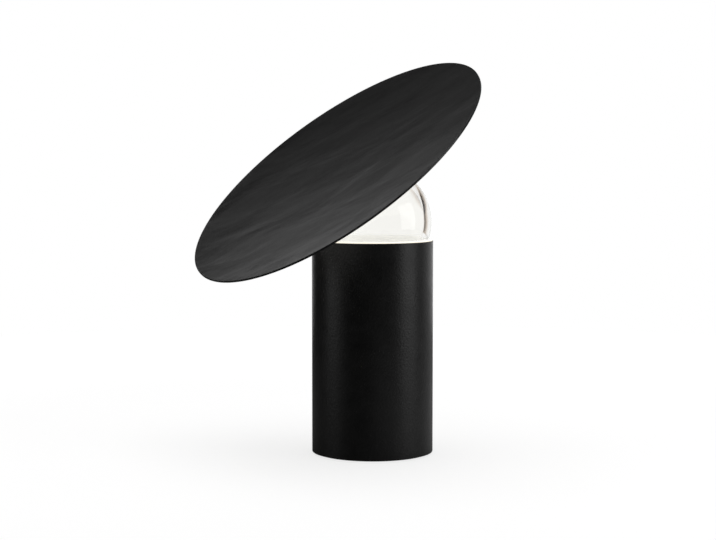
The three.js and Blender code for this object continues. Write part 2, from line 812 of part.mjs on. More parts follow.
// The glass ball is open at the top. The hub closes it: a flanged spigot, a gasket that grips the glass
// when the ring nut is tightened, and a magnet at the bottom of the socket for the disc's stud.
function makeBall() {
  const openingAngle = Math.acos(openingRadius / ballRadius);
  const innerAngle = Math.acos(openingRadius / glassInnerRadius);
  const profile = [
    ...arc(ballRadius, 0, -Math.PI / 2, openingAngle, 12),
    ...arc(glassInnerRadius, 0, innerAngle, -Math.PI / 2, 9),
  ];
  place("glass_ball", turned(profile, medium), clearGlass, head);

  const spigotRadius = spigotDiameter / 2;
  const cap = turned(
    [
      [0, spigotBottom],
      [spigotRadius, spigotBottom],
      [spigotRadius, hubBottom],
      [hubDiameter / 2, hubBottom],
      [hubDiameter / 2, hubTop],
      [socketDiameter / 2, hubTop],
      [socketDiameter / 2, socketBottom],
      [0, socketBottom],
    ],
    coarse,
  );
  place("hub_cap", cap, aluminium, head);
  const gripRadius = openingRadius - fit;
  place(
    "hub_gasket",
    ring(spigotRadius + fit, gripRadius, gasketBottom, hubBottom - gasketSquash, coarse),
    seatSilicone,
    head,
  );
  const clamp = ring(spigotRadius + fit, gripRadius, clampTop - clampThickness, clampTop, coarse);
  place("hub_clamp", clamp, aluminium, head);
  place("hub_magnet", rod(studRadius, magnetBottom, magnetTop, coarse), magnetNickel, head);
}

// The disc is a shallow dish, hollow side up, with a steel stud under its middle.
function makeDisc() {
  const rings = 4;
  const radii = Array.from({ length: rings + 1 }, (_, i) => (discRadius * i) / rings);
  const rise = (r) => dishRadius - Math.sqrt(dishRadius ** 2 - r ** 2);
  const under = radii.map((r) => [r, discUnderside + rise(r)]);
  const over = radii.map((r) => [r, discUnderside + discThickness + rise(r)]).reverse();
  place("shade_disc", turned([...under, ...over], fine), blackAnodised, head);
  place("shade_stud", rod(studRadius, studBottom, studTop, coarse), zincSteel, head);
}

makeTube();
makeBase();
makeRods();
makeLightSource();
makeReflectorCup();
makeSeat();
makeDriver();
makeInlet();
makeSwitch();
makeLeads();
makeBall();
makeDisc();

export default lamp;
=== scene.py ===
# %% [markdown]
# # A table lamp with a tilting disc
#
# The lamp is an upright black tube. A thick clear glass ball lies in the mouth of the tube, and a wide
# dished disc stands on the ball. The light source is in the tube, under the ball. It shines up through the
# glass on to the white underside of the disc, and the disc throws the light back down. The ball turns in
# its seat, so the disc can be tilted by hand.
#
# The CAD model is loaded first as a fixed frame. It says where every piece is and which body each piece
# moves with. The pieces that can be seen are then modelled again here with fine, rounded surfaces.

# %% Load the frame
import json
from math import acos, asin, atan2, cos, hypot, pi, radians, sin, sqrt

import bpy
from mathutils import Matrix, Vector


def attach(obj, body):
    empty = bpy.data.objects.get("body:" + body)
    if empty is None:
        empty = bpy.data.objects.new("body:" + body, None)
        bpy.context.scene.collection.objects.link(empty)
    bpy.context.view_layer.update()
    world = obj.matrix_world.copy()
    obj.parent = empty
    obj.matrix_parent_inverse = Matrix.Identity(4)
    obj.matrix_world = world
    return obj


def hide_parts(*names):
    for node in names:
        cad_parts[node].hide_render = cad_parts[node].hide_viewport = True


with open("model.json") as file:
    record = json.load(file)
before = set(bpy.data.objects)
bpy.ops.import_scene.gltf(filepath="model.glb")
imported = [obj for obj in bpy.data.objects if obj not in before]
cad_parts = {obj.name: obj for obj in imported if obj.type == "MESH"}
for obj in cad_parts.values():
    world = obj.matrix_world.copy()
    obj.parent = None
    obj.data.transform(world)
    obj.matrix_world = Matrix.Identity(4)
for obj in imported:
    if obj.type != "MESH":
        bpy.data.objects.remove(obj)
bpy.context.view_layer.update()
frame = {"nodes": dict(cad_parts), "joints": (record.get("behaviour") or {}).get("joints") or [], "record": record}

MM = 0.001

# %% [markdown]
# ## Camera
#
# A product photograph like this one is taken with a long lens from a little above the lamp. The camera's
# place was solved from the outlines of the tube and the disc: it is about 1.7 m away and looks four degrees
# down. A long lens keeps the two sides of the tube almost parallel.

# %% Set up the camera
camera_place = Vector((-14.35, -1716.2, 303.2)) * MM
looks_down = radians(4.056)
bpy.ops.object.camera_add(location=camera_place, rotation=(pi / 2 - looks_down, 0, 0))
camera = bpy.context.object
camera.name = "camera"
camera.data.sensor_width = 36
camera.data.lens = 87.3
bpy.context.scene.camera = camera
bpy.context.scene.view_settings.view_transform = "Standard"
print("distance from the camera to the lamp, m:", round(camera_place.length, 3))

# %% [markdown]
# ## World
#
# A black object has almost no colour of its own, so what it mirrors is what makes it look round. The studio
# here has a white backdrop that ends a little above the lamp, and the rest of the room is dim. The camera
# sees plain white all round. A mirrored ray sees the backdrop only behind the lamp and low down.
#
# Clear glass is drawn by what it bends into view. A ray through the ball sees white all round, except for
# two grey cards behind the lamp on the right: a tall leaning one, and a paler, broader one beside it. Both
# fade out to the left and end sharply on the right. The glass bends them into one thin dark line along its
# inner wall, as photographers do with black cards beside a wine glass. The line is a little warm.

# %% A small helper for nodes
def add(tree, kind, **values):
    """Adds a node and sets its settings, and the values of its sockets by their names."""
    node = tree.nodes.new("ShaderNode" + kind)
    for name, value in values.items():
        if hasattr(node, name):
            setattr(node, name, value)
        else:
            node.inputs[name.replace("_", " ")].default_value = value
    return node


# %% Make the world
room = bpy.data.worlds.new("studio")
room.use_nodes = True
bpy.context.scene.world = room
tree = room.node_tree
background = tree.nodes["Background"]
rays = add(tree, "LightPath")
direction = add(tree, "TexCoord")
parts = add(tree, "SeparateXYZ")
tree.links.new(direction.outputs["Generated"], parts.inputs["Vector"])
room_light = 0.55
dark = 0.05


def ramp(along, start, end, value_at_start, value_at_end):
    """A soft step between two values, along X, Y or Z or along another value of the tree being built."""
    step = add(tree, "MapRange", interpolation_type="SMOOTHSTEP", From_Min=start, From_Max=end)
    step.inputs["To Min"].default_value = value_at_start
    step.inputs["To Max"].default_value = value_at_end
    source = parts.outputs[along] if isinstance(along, str) else along
    tree.links.new(source, step.inputs["Value"])
    return step.outputs["Result"]


def combine(operation, first, second):
    """One operation on two values, of which at least one comes from the tree being built."""
    both = add(tree, "Math", operation=operation)
    for socket, value in zip(both.inputs, (first, second)):
        if isinstance(value, float):
            socket.default_value = value
        else:
            tree.links.new(value, socket)
    return both.outputs[0]


# What a mirrored ray sees: the low backdrop, which ends on the left, and a faint light from above.
low_backdrop = combine("MULTIPLY", ramp("X", -0.54, -0.36, dark, 1.0), ramp("Y", -0.1, 1.0, dark, 0.85))
low_backdrop = combine("MULTIPLY", low_backdrop, ramp("Z", 0.12, 0.36, 1.0, dark))
ceiling = combine("MULTIPLY", ramp("X", -0.6, -0.2, 0.07, 0.08), ramp("Z", 0.3, 0.5, 0.0, 1.0))
mirrored = combine("ADD", low_backdrop, ceiling)

# What a ray through the glass sees: white but for the cards. Their sharp edge leans to the left going up.
upward = combine("MAXIMUM", parts.outputs["Z"], 0.0)
lean = combine("MULTIPLY", combine("MULTIPLY", upward, upward), 2.6)
across = combine("ADD", parts.outputs["X"], lean)
tall_card = combine("POWER", ramp(across, 0.2, 0.8, 0.0, 1.0), 4.0)
pale_card = combine("MULTIPLY", ramp("X", 0.2, 0.45, 0.0, 0.5), ramp("Z", 0.05, 0.16, 0.0, 1.0))
cards = combine("MINIMUM", combine("ADD", tall_card, pale_card), 1.0)
cards = combine("MULTIPLY", cards, ramp(across, 0.765, 0.79, 1.0, 0.0))
cards = combine("MULTIPLY", cards, ramp("Y", 0.0, 0.35, 0.0, 1.0))
cards = combine("MULTIPLY", cards, ramp("Z", 0.24, 0.3, 1.0, 0.1))
cards = combine("MULTIPLY", cards, ramp("Z", -0.25, -0.13, 0.1, 1.0))
through_glass = combine("SUBTRACT", 1.0, cards)

# The darker the cards, the warmer they are.
tint = add(tree, "ValToRGB")
tint.color_ramp.elements[0].color = (1, 1, 1, 1)
tint.color_ramp.elements[1].position = 0.6
tint.color_ramp.elements[1].color = (1, 0.82, 0.66, 1)
tree.links.new(combine("MULTIPLY", cards, rays.outputs["Is Transmission Ray"]), tint.inputs["Fac"])
tree.links.new(tint.outputs["Color"], background.inputs["Color"])


def choose(is_ray, otherwise, then):
    """Takes one strength for one kind of ray, and another for all other rays."""
    choice = add(tree, "Mix")
    tree.links.new(rays.outputs[is_ray], choice.inputs["Factor"])
    for socket, strength in ((choice.inputs["A"], otherwise), (choice.inputs["B"], then)):
        if isinstance(strength, float):
            socket.default_value = strength
        else:
            tree.links.new(strength, socket)
    return choice.outputs["Result"]


strength = choose("Is Glossy Ray", room_light, mirrored)
strength = choose("Is Transmission Ray", strength, through_glass)
strength = choose("Is Camera Ray", strength, 1.0)
tree.links.new(strength, background.inputs["Strength"])
print("light from the room on every side:", room_light)

# %% [markdown]
# ## Softboxes
#
# Five softboxes light the lamp. The tall one on the right makes the long soft highlight on the tube, and the
# one on the left keeps that side from going black. The low, wide one at the back is mirrored in the disc
# and lightens its near half, and the rear one gives the back of the tube a faint highlight. The large one
# above lights the floor, so that the lamp has a soft shadow.
# A softbox is described by its brightness: one of a square metre has a brightness of 1 at pi watts.

# %% Hang the softboxes
def softbox(name, place, width, height, brightness, target=(0, 0, 0.2)):
    """Hangs a softbox that faces its target. Places and sizes are in metres."""
    aim = Vector(target) - Vector(place)
    bpy.ops.object.light_add(type="AREA", location=place, rotation=aim.to_track_quat("-Z", "Y").to_euler())
    lamp = bpy.context.object
    lamp.name = name
    lamp.data.shape = "RECTANGLE"
    lamp.data.size = width
    lamp.data.size_y = height
    lamp.data.energy = brightness * pi * width * height
    lamp.visible_camera = False
    lamp.visible_transmission = False
    print(name, "power, W:", round(lamp.data.energy, 2))


softbox("right_softbox", (1.42, -0.49, 0.45), 0.9, 1.1, 1.68)
softbox("left_softbox", (-1.45, -0.3, 0.4), 0.8, 1.2, 0.9)
softbox("back_softbox", (-0.35, 1.35, 0.7), 0.72, 0.34, 0.77, target=(0, 0, 0.25))
softbox("rear_softbox", (0.35, 1.35, 0.35), 0.5, 0.7, 0.8)
softbox("top_softbox", (0, -0.1, 2.1), 1.6, 1.6, 1.7)

# %% [markdown]
# ## Floor
#
# The lamp stands on a pale table top that runs into the white background. The floor takes the lamp's
# shadow, and only for the camera and for rays through the glass it also gives a little light of its own,
# which lifts it to white. Where the black tube mirrors it, its left half is dimmed and its right half a
# little lighter, so that the left side of the tube stays dark and the highlight reaches down to the foot.

# %% Lay the floor
floor_radius = 1.2
floor_gap = 0.2 * MM
floor_tone = 0.3
white = 1.03
bpy.ops.object.select_all(action="DESELECT")
bpy.ops.mesh.primitive_circle_add(
    vertices=128, radius=floor_radius, fill_type="NGON", location=(0, 0, -floor_gap)
)
floor = bpy.context.object
floor.name = "floor"
pale = bpy.data.materials.new("pale floor")
pale.use_nodes = True
floor.data.materials.append(pale)
tree = pale.node_tree
shader = tree.nodes["Principled BSDF"]
shader.inputs["Roughness"].default_value = 0.9
shader.inputs["Specular IOR Level"].default_value = 0.1
shader.inputs["Emission Color"].default_value = (1, 1, 1, 1)
place = add(tree, "TexCoord")
distance = add(tree, "VectorMath", operation="LENGTH")
parts = add(tree, "SeparateXYZ")
rays = add(tree, "LightPath")
tree.links.new(place.outputs["Object"], distance.inputs[0])
tree.links.new(place.outputs["Object"], parts.inputs["Vector"])

# The floor's tone fades out towards its edge, and changes from left to right where it is mirrored.
tone = ramp(distance.outputs["Value"], 0.45, 1.0, floor_tone, 0.0)
change = combine("MULTIPLY", rays.outputs["Is Glossy Ray"], ramp("X", -0.05, 0.1, -0.65, 0.3))
colour = combine("MULTIPLY", combine("ADD", change, 1.0), tone)
tree.links.new(colour, shader.inputs["Base Color"])

# Its own light makes up what its tone lacks to white.
seen = combine("MAXIMUM", rays.outputs["Is Camera Ray"], rays.outputs["Is Transmission Ray"])
glow = combine("MULTIPLY", seen, combine("SUBTRACT", white, tone))
tree.links.new(glow, shader.inputs["Emission Strength"])

# %% [markdown]
# ## Sizes
#
# These are the sizes of the CAD model, in millimetres. The glass ball closes the mouth of the tube: its
# surface just meets the inside of the bore at the rim. The disc's axis goes through the centre of the ball,
# and the joints of the frame say where that centre is and how the axis leans.

# %% Set the sizes
tube_radius = 60
bore_radius = 56.8
insert_radius = 56.5
waist_radius = 55
rim_height = 210.75
fit = 0.3

joints = {joint["name"]: joint for joint in frame["joints"]}
ball_centre = Vector(joints["ball_tilt"]["pos_m"])
ball_height = ball_centre.z / MM
ball_radius = hypot(insert_radius, ball_height - rim_height)
glass_wall = 8
inner_radius = ball_radius - glass_wall
opening_radius = 20

disc_axis = Vector(joints["disc_spin"]["axis"]).normalized()
disc_tilt = acos(disc_axis.z)
disc_heading = atan2(disc_axis.y, disc_axis.x)
print("ball: radius", round(ball_radius, 2), "mm, centre", round(ball_height, 2), "mm above the table")
print("disc: tilted by", round(disc_tilt * 180 / pi, 2), "degrees")

# %% [markdown]
# ## Turning on the lathe
#
# Nearly every piece of this lamp is turned or spun on a lathe, so one helper does for all of them what a
# lathe does. A single point is drawn along the outline with extrude, its sharp corners are rounded with
# bevel, and the outline is spun round the axis. Points that meet at a seam or on the axis are merged, and
# only then are the normals turned outwards.

# %% Helpers for turned pieces
def pick_nothing():
    """Ends any editing and selects nothing."""
    if bpy.context.mode != "OBJECT":
        bpy.ops.object.mode_set(mode="OBJECT")
    bpy.ops.object.select_all(action="DESELECT")


def pick_points(piece, places, reach=0.01 * MM):
    """Selects, in edit mode, the points that lie at these places."""
    bpy.ops.mesh.select_mode(type="VERT")
    bpy.ops.mesh.select_all(action="DESELECT")
    bpy.ops.object.mode_set(mode="OBJECT")
    for point in piece.data.vertices:
        point.select = any((point.co - place).length < reach for place in places)
    bpy.ops.object.mode_set(mode="EDIT")


def turned(name, outline, steps, closed=False):
    """Spins an outline round the Z axis. Its corners are (radius, height, rounding) in millimetres."""
    corners = [Vector((corner[0], 0, corner[1])) * MM for corner in outline]
    roundings = [corner[2] if len(corner) > 2 else 0 for corner in outline]
    path = corners + corners[:1] if closed else corners
    pick_nothing()
    bpy.ops.mesh.primitive_plane_add(size=MM)
    piece = bpy.context.object
    piece.name = name
    piece.data.name = name
    bpy.ops.object.mode_set(mode="EDIT")
    bpy.ops.mesh.select_mode(type="VERT")
    bpy.ops.mesh.select_all(action="SELECT")
    bpy.ops.mesh.merge(type="CENTER")
    bpy.ops.transform.translate(value=path[0])
    for here, there in zip(path, path[1:]):
        bpy.ops.mesh.extrude_vertices_move(TRANSFORM_OT_translate={"value": there - here})
    bpy.ops.mesh.select_all(action="SELECT")
    bpy.ops.mesh.remove_doubles(threshold=MM / 1000)
    for rounding in sorted(set(roundings) - {0}):
        pick_points(piece, [corner for corner, size in zip(corners, roundings) if size == rounding])
        bpy.ops.mesh.bevel(offset=rounding * MM, segments=4, affect="VERTICES")
    bpy.ops.mesh.select_all(action="SELECT")
    bpy.ops.mesh.spin(steps=steps, angle=2 * pi, center=(0, 0, 0), axis=(0, 0, 1))
    bpy.ops.mesh.select_all(action="SELECT")
    bpy.ops.mesh.remove_doubles(threshold=MM / 1000)
    bpy.ops.mesh.normals_make_consistent(inside=False)
    bpy.ops.object.mode_set(mode="OBJECT")
    return piece


def arc(radius, middle, start, end, steps):
    """Points of an arc round a middle on the axis, between two angles above level, in radians."""
    angles = [start + (end - start) * step / steps for step in range(steps + 1)]
    return [(abs(radius * cos(angle)), middle + radius * sin(angle)) for angle in angles]


# %% Helpers that finish a piece
smooth_below = radians(32)


def drill(piece, holes):
    """Cuts round holes through the back of a piece. A hole is (radius, height) in millimetres."""
    for radius, height in holes:
        pick_nothing()
        bpy.ops.mesh.primitive_cylinder_add(
            vertices=64,
            radius=radius * MM,
            depth=40 * MM,
            location=(0, tube_radius * MM, height * MM),
            rotation=(pi / 2, 0, 0),
        )
        drill_bit = bpy.context.object
        bpy.context.view_layer.objects.active = piece
        piece.modifiers.new("hole", "BOOLEAN").object = drill_bit
        bpy.ops.object.modifier_apply(modifier="hole")
        bpy.data.objects.remove(drill_bit)


def set_in_place(piece, turn, place):
    """Turns and moves a piece, and puts its new place into its mesh."""
    pick_nothing()
    piece.select_set(True)
    bpy.context.view_layer.objects.active = piece
    piece.rotation_euler = turn
    piece.location = place
    bpy.ops.object.transform_apply(location=True, rotation=True, scale=True)


def with_the_disc(piece):
    """Leans an upright piece over with the disc, round the centre of the ball."""
    set_in_place(piece, (0, disc_tilt, disc_heading), ball_centre)


def on_the_back(piece, height):
    """Lays an upright piece along +Y, at a height on the tube's back."""
    set_in_place(piece, (-pi / 2, 0, 0), (0, 0, height * MM))


def dress(piece, body, slot, finish, *nodes, even=True):
    """Smooths a piece, gives it its finish, hangs it on the empty of its body, and hides the CAD nodes it stands
    for.
    """
    pick_nothing()
    piece.select_set(True)
    bpy.context.view_layer.objects.active = piece
    bpy.ops.object.shade_smooth_by_angle(angle=smooth_below)
    if even:
        bpy.ops.object.modifier_add(type="WEIGHTED_NORMAL")
        piece.modifiers[-1].keep_sharp = True
        bpy.ops.object.modifier_apply(modifier=piece.modifiers[-1].name)
    piece.data.materials.append(finish)
    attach(piece, body)
    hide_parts(*nodes)
    triangles = sum(len(face.vertices) - 2 for face in piece.data.polygons)
    print(piece.name, "rides on", body, "with", triangles, "triangles")


# %% [markdown]
# ## Finishes
#
# Most finishes here have the same build. Soft patches drift between two close tones and change the gloss a
# little, and a fine grain raises the surface. What differs is the tone, the size of the grain and its
# height, which runs from a few thousandths of a millimetre on nickel to about a fifth on the powder coat
# and on cast iron. A brushed finish stretches its patterns along the strokes.

# %% Grained finishes
def grained(name, dark, light, gloss, grain, depth, metal=0.0, patch=15.0):
    """Tones and roughness drift in patches over a raised grain. patch, grain and depth are in millimetres."""
    finish = bpy.data.materials.new(name)
    finish.use_nodes = True
    tree = finish.node_tree
    shader = tree.nodes["Principled BSDF"]
    shader.inputs["Metallic"].default_value = metal
    place = add(tree, "TexCoord")
    patches = add(tree, "TexNoise", Scale=1 / (patch * MM), Detail=5.0, Roughness=0.6)
    tone = add(tree, "ValToRGB")
    tone.color_ramp.elements[0].position = 0.3
    tone.color_ramp.elements[0].color = (*dark, 1)
    tone.color_ramp.elements[1].position = 0.7
    tone.color_ramp.elements[1].color = (*light, 1)
    sheen = add(tree, "MapRange", From_Min=0.3, From_Max=0.7, To_Min=gloss[0], To_Max=gloss[1])
    bumps = add(tree, "TexNoise", Scale=1 / (grain * MM), Detail=2.0)
    raised = add(tree, "Bump", Strength=1.0, Distance=depth * MM)
    links = tree.links
    links.new(place.outputs["Object"], patches.inputs["Vector"])
    links.new(place.outputs["Object"], bumps.inputs["Vector"])
    links.new(patches.outputs["Fac"], tone.inputs["Fac"])
    links.new(patches.outputs["Fac"], sheen.inputs["Value"])
    links.new(tone.outputs["Color"], shader.inputs["Base Color"])
    links.new(sheen.outputs["Result"], shader.inputs["Roughness"])
    links.new(bumps.outputs["Fac"], raised.inputs["Height"])
    links.new(raised.outputs["Normal"], shader.inputs["Normal"])
    return finish


def grey(level, warmth=0.0):
    """A grey, or a slightly warm grey."""
    return (level * (1 + warmth), level, level * (1 - warmth))


powder_coat = grained("black powder coat", grey(0.002), grey(0.004), (0.32, 0.4), 2.2, 0.18)
powder_coat.node_tree.nodes["Principled BSDF"].inputs["Specular IOR Level"].default_value = 0.4
anodised = grained("black anodised", grey(0.012), grey(0.02), (0.28, 0.36), 0.3, 0.01, metal=0.6)
white_paint = grained("white paint", grey(0.78, 0.01), grey(0.84, 0.01), (0.5, 0.6), 0.6, 0.02)
reflector = grained("white reflector", grey(0.8, 0.02), grey(0.86, 0.02), (0.45, 0.55), 0.5, 0.015)
silicone = grained("translucent silicone", grey(0.77, 0.01), grey(0.81, 0.01), (0.45, 0.6), 0.7, 0.03)
# A lit copy of the silicone for the side of the seat's collar: its warmer tone and stronger glow are painted light
# from the lamp.
collar_glow_silicone = grained("silicone with painted collar glow", (0.78, 0.74, 0.64), (0.82, 0.78, 0.68), (0.45, 0.6), 0.7, 0.03)
white_plastic = grained("white plastic", grey(0.7, 0.01), grey(0.76, 0.01), (0.4, 0.5), 0.4, 0.01)
black_plastic = grained("black plastic", grey(0.008), grey(0.014), (0.4, 0.5), 0.4, 0.02)
rubber = grained("black rubber", grey(0.012), grey(0.02), (0.75, 0.9), 0.8, 0.1)
sheath = grained("lead sheath", grey(0.01), grey(0.016), (0.5, 0.6), 0.5, 0.02)
zinc = grained(
    "zinc-plated steel", grey(0.42, -0.02), grey(0.55, -0.02), (0.3, 0.45), 0.5, 0.01, metal=1.0, patch=4
)
nickel = grained("nickel", grey(0.55, 0.04), grey(0.65, 0.04), (0.15, 0.25), 0.5, 0.005, metal=1.0)
iron = grained("cast iron", grey(0.04), grey(0.09), (0.6, 0.8), 1.5, 0.2, metal=0.6, patch=6)
board = grained("circuit board", (0.01, 0.09, 0.03), (0.02, 0.13, 0.05), (0.3, 0.4), 2.0, 0.03, patch=5)
phosphor = grained("light source", (0.75, 0.5, 0.06), (0.85, 0.6, 0.1), (0.4, 0.5), 0.8, 0.05, patch=3)

# %% [markdown]
# The disc is brushed by hand with a coarse pad before it is anodised black. The strokes all run one way,
# up to four centimetres long and one wide, some a little lighter than others. Under them the sheet has
# longer, very shallow waves that make its reflections hazy. Both patterns are laid in a frame that leans
# with the disc, so that they stay in the disc's plane.

# %% Brushed finishes
def brushed(name, dark, light, gloss, turned_frame, streak, wave, depth):
    """Streaks over longer waves, along X of a turned frame. Their sizes are (long, wide) in millimetres."""
    finish = grained(name, dark, light, gloss, wave[1], depth, metal=1.0, patch=streak[1])
    tree = finish.node_tree
    streaks, waves = [node for node in tree.nodes if node.bl_idname == "ShaderNodeTexNoise"]
    place = next(node for node in tree.nodes if node.bl_idname == "ShaderNodeTexCoord")
    for noise, (long, wide) in ((streaks, streak), (waves, wave)):
        laid = add(tree, "Mapping", vector_type="TEXTURE", Rotation=turned_frame.to_euler())
        laid.inputs["Scale"].default_value = (long / wide, 1, 1)
        tree.links.new(place.outputs["Object"], laid.inputs["Vector"])
        tree.links.new(laid.outputs["Vector"], noise.inputs["Vector"])
        noise.inputs["Distortion"].default_value = 0.3
    waves.inputs["Detail"].default_value = 3.0
    waves.inputs["Roughness"].default_value = 0.4
    return finish


stroke_angle = radians(-50)
disc_frame = Matrix.Rotation(disc_heading, 3, "Z") @ Matrix.Rotation(disc_tilt, 3, "Y")
stroke_frame = disc_frame @ Matrix.Rotation(stroke_angle, 3, "Z")
disc_black = brushed(
    "black brushed aluminium", grey(0.032), grey(0.062), (0.3, 0.4), stroke_frame, (36, 9), (75, 40), 1.2
)
bright_turned = brushed(
    "turned aluminium", grey(0.5), grey(0.62), (0.22, 0.34), disc_frame, (12, 0.8), (34, 2.3), 0.01
)

# %% [markdown]
# Clear glass is all in what the rays do, so its colour is nearly white and its surface is smooth. A hand-made
# ball still has very long, very shallow waves.
#
# The lamp is lit, so the frosted lens over the light source glows warm white. The bowl, the seat and the
# white underside of the disc have a fainter glow, which stands for the lamp's light that falls on them.

# %% Glass and the glow of the lit lamp
def lit(finish, colour, strength):
    """Lets a finish glow: on the lens this is the lamp itself, on other finishes painted light that stands for the
    lamp's light falling on them.
    """
    shader = finish.node_tree.nodes["Principled BSDF"]
    shader.inputs["Emission Color"].default_value = (*colour, 1)
    shader.inputs["Emission Strength"].default_value = strength


glass = grained("clear glass", (0.985, 0.982, 0.962), (0.995, 0.992, 0.972), (0.0, 0.0), 30, 0.02)
shader = glass.node_tree.nodes["Principled BSDF"]
for link in list(shader.inputs["Roughness"].links):
    glass.node_tree.links.remove(link)
shader.inputs["Roughness"].default_value = 0.0
shader.inputs["IOR"].default_value = 1.5
shader.inputs["Transmission Weight"].default_value = 1.0

frosted = grained("frosted lens", grey(0.8, 0.02), grey(0.86, 0.02), (0.5, 0.6), 0.6, 0.03)
lit(frosted, (1.0, 0.9, 0.75), 5.0)
# Painted light: the bowl, the silicone of the seat and hub seal, and the disc's white paint glow as if lit by the
# lamp.
lit(reflector, (1.0, 0.98, 0.93), 0.85)
lit(white_paint, (1.0, 0.97, 0.91), 0.27)
lit(silicone, (1.0, 1.0, 0.98), 0.63)
lit(collar_glow_silicone, (1.0, 0.92, 0.78), 0.82)

# %% [markdown]
# ## Tube
#
# The tube is a length of thick aluminium pipe, turned at both ends. Its rim and its foot are broken with a
# small radius, which catches a thin line of light. Inside, a counterbore at each end leaves a shoulder that
# the inner frame is clamped on. Its outline is drawn corner by corner, spun, and drilled at the back.

# %% Make the tube
tube_foot = 1.0
upper_shoulder = 182.584
lower_shoulder = 8.2
inlet_height = 19
inlet_radius = 5
switch_height = 62
switch_radius = 7
tube = turned(
    "black_tube",
    [
        (bore_radius, tube_foot),
        (tube_radius, tube_foot, 0.7),
        (tube_radius, rim_height, 0.3),
        (bore_radius, rim_height, 0.3),
        (bore_radius, upper_shoulder),
        (waist_radius, upper_shoulder),
        (waist_radius, lower_shoulder),
        (bore_radius, lower_shoulder),
    ],
    steps=192,
    closed=True,
)
drill(tube, [(inlet_radius + fit, inlet_height), (switch_radius + fit, switch_height)])
dress(tube, "base", "black_powder_coat", powder_coat, "tube_body")

# %% [markdown]
# ## Foot
#
# A thick rubber disc is glued under the base plate. It holds the tube a millimetre off the table, which
# leaves the dark line at its foot. Three ring grooves in its underside let it grip.

# %% Make the foot
foot_thickness = 2
groove_depth = 0.5
groove_width = 2
grooves = []
for groove in (18, 33, 48):
    grooves += [
        (groove, 0),
        (groove + groove_width / 4, groove_depth),
        (groove + groove_width * 3 / 4, groove_depth),
        (groove + groove_width, 0),
    ]
outline = [(0, 0), *grooves, (insert_radius, 0, 0.4)]
outline += [(insert_radius, foot_thickness, 0.2), (0, foot_thickness)]
foot = turned("rubber_foot", outline, steps=128)
dress(foot, "base", "foot_rubber", rubber, "foot_pad")

# %% [markdown]
# ## Seat, bowl and light source
#
# A ring of translucent silicone carries the ball. Its inside follows the ball, it can turn in the tube, and
# its collar lies on the rim. The lamp's light that comes through it is painted on as a glow. The side of
# the collar has a warmer, brighter lit copy of the silicone, a painted highlight that shows as a thin bright
# line. Under it is a thin white bowl that keeps the light inside, with the light source and its frosted lens
# in the middle. All of them are seen through the glass, from above.

# %% Make the seat ring
seat_inner = 49.5
seat_bottom = 187.784
collar_bottom = rim_height + 0.1
collar_radius = tube_radius - 0.8
seat_top = collar_bottom + 1.4
seat_radius = ball_radius + fit
face_top = -asin((ball_height - seat_top) / seat_radius)
face_bottom = -acos(seat_inner / seat_radius)
seat_face = arc(seat_radius, ball_height, face_top, face_bottom, steps=12)
outline = [(seat_inner, seat_bottom, 0.4), (insert_radius, seat_bottom, 0.3), (insert_radius, collar_bottom)]
outline += [(collar_radius, collar_bottom, 0.3), (collar_radius, seat_top, 0.5)]
seat = turned("turning_seat", [*outline, *seat_face], steps=160, closed=True)
dress(seat, "seat", "seat_silicone", silicone, "seat_ring")

# %% Paint a warmer, brighter glow on the side of its collar
# The faces on the side of the collar get the lit copy, a painted highlight that shows as a thin bright line.
seat.data.materials.append(collar_glow_silicone)
for face in seat.data.polygons:
    if hypot(face.center.x, face.center.y) > (collar_radius - 0.4) * MM:
        face.material_index = 1
print("faces with painted collar glow:", sum(face.material_index for face in seat.data.polygons))

# %% Make the white bowl
bowl_inner = ball_radius + 2
bowl_outer = bowl_inner + 1.2
bowl_mouth = 45.2
bowl_lip = -acos(bowl_mouth / bowl_outer)
neck_bottom = 160.1
neck_inner = 20
neck_outer = 21.2
outline = [(neck_inner, neck_bottom, 0.3), (neck_outer, neck_bottom, 0.3)]
outline += arc(bowl_outer, ball_height, -acos(neck_outer / bowl_outer), bowl_lip, steps=24)
outline += arc(bowl_inner, ball_height, bowl_lip, -acos(neck_inner / bowl_inner), steps=24)
bowl = turned("white_bowl", outline, steps=128, closed=True)
dress(bowl, "base", "white_reflector", reflector, "reflector_cup")

# %% Make the lens and its clip
lamp_bottom = 156.1
board_top = 157.8
clip_top = 160.0
lens_radius = 9.2
lens_bottom = clip_top - 0.9
lens_crown = 2.2
turns = [step * pi / 20 for step in range(1, 10)]
crown = [(lens_radius * cos(turn), clip_top + lens_crown * sin(turn)) for turn in turns]
outline = [(0, lens_bottom), (lens_radius, lens_bottom, 0.2), (lens_radius, clip_top)]
outline += [*crown, (0, clip_top + lens_crown)]
lens = turned("frosted_lens", outline, steps=72)
dress(lens, "base", "frosted_lens", frosted, "led_lens")

clip_inner = 18.3
clip_outer = 22.3
window_radius = 8
ledge = lens_bottom - 0.1
outline = [
    (clip_inner, lamp_bottom),
    (clip_outer, lamp_bottom, 0.3),
    (clip_outer, clip_top, 0.5),
    (lens_radius + fit, clip_top, 0.2),
    (lens_radius + fit, ledge),
    (window_radius, ledge, 0.2),
    (window_radius, board_top),
    (clip_inner, board_top),
]
clip = turned("lens_clip", outline, steps=96, closed=True)
dress(clip, "base", "white_plastic", white_plastic, "led_holder")

# %% [markdown]
# ## Glass ball
#
# The ball is blown with a wall of eight millimetres. That wall matters: where the ray just grazes the
# cavity, the glass mirrors it sideways, and this draws the thin dark line a little inside the ball's edge.
# The outline therefore runs up the outside, over the rounded edge of the opening and down the inside.

# %% Blow the ball
outside = arc(ball_radius, 0, -pi / 2, acos(opening_radius / ball_radius), steps=72)
inside = arc(inner_radius, 0, acos(opening_radius / inner_radius), -pi / 2, steps=64)
outside[-1] = (*outside[-1], 0.8)
inside[0] = (*inside[0], 0.8)
ball = turned("clear_ball", outside + inside, steps=160)
with_the_disc(ball)
dress(ball, "ball", "clear_glass", glass, "glass_ball", even=False)

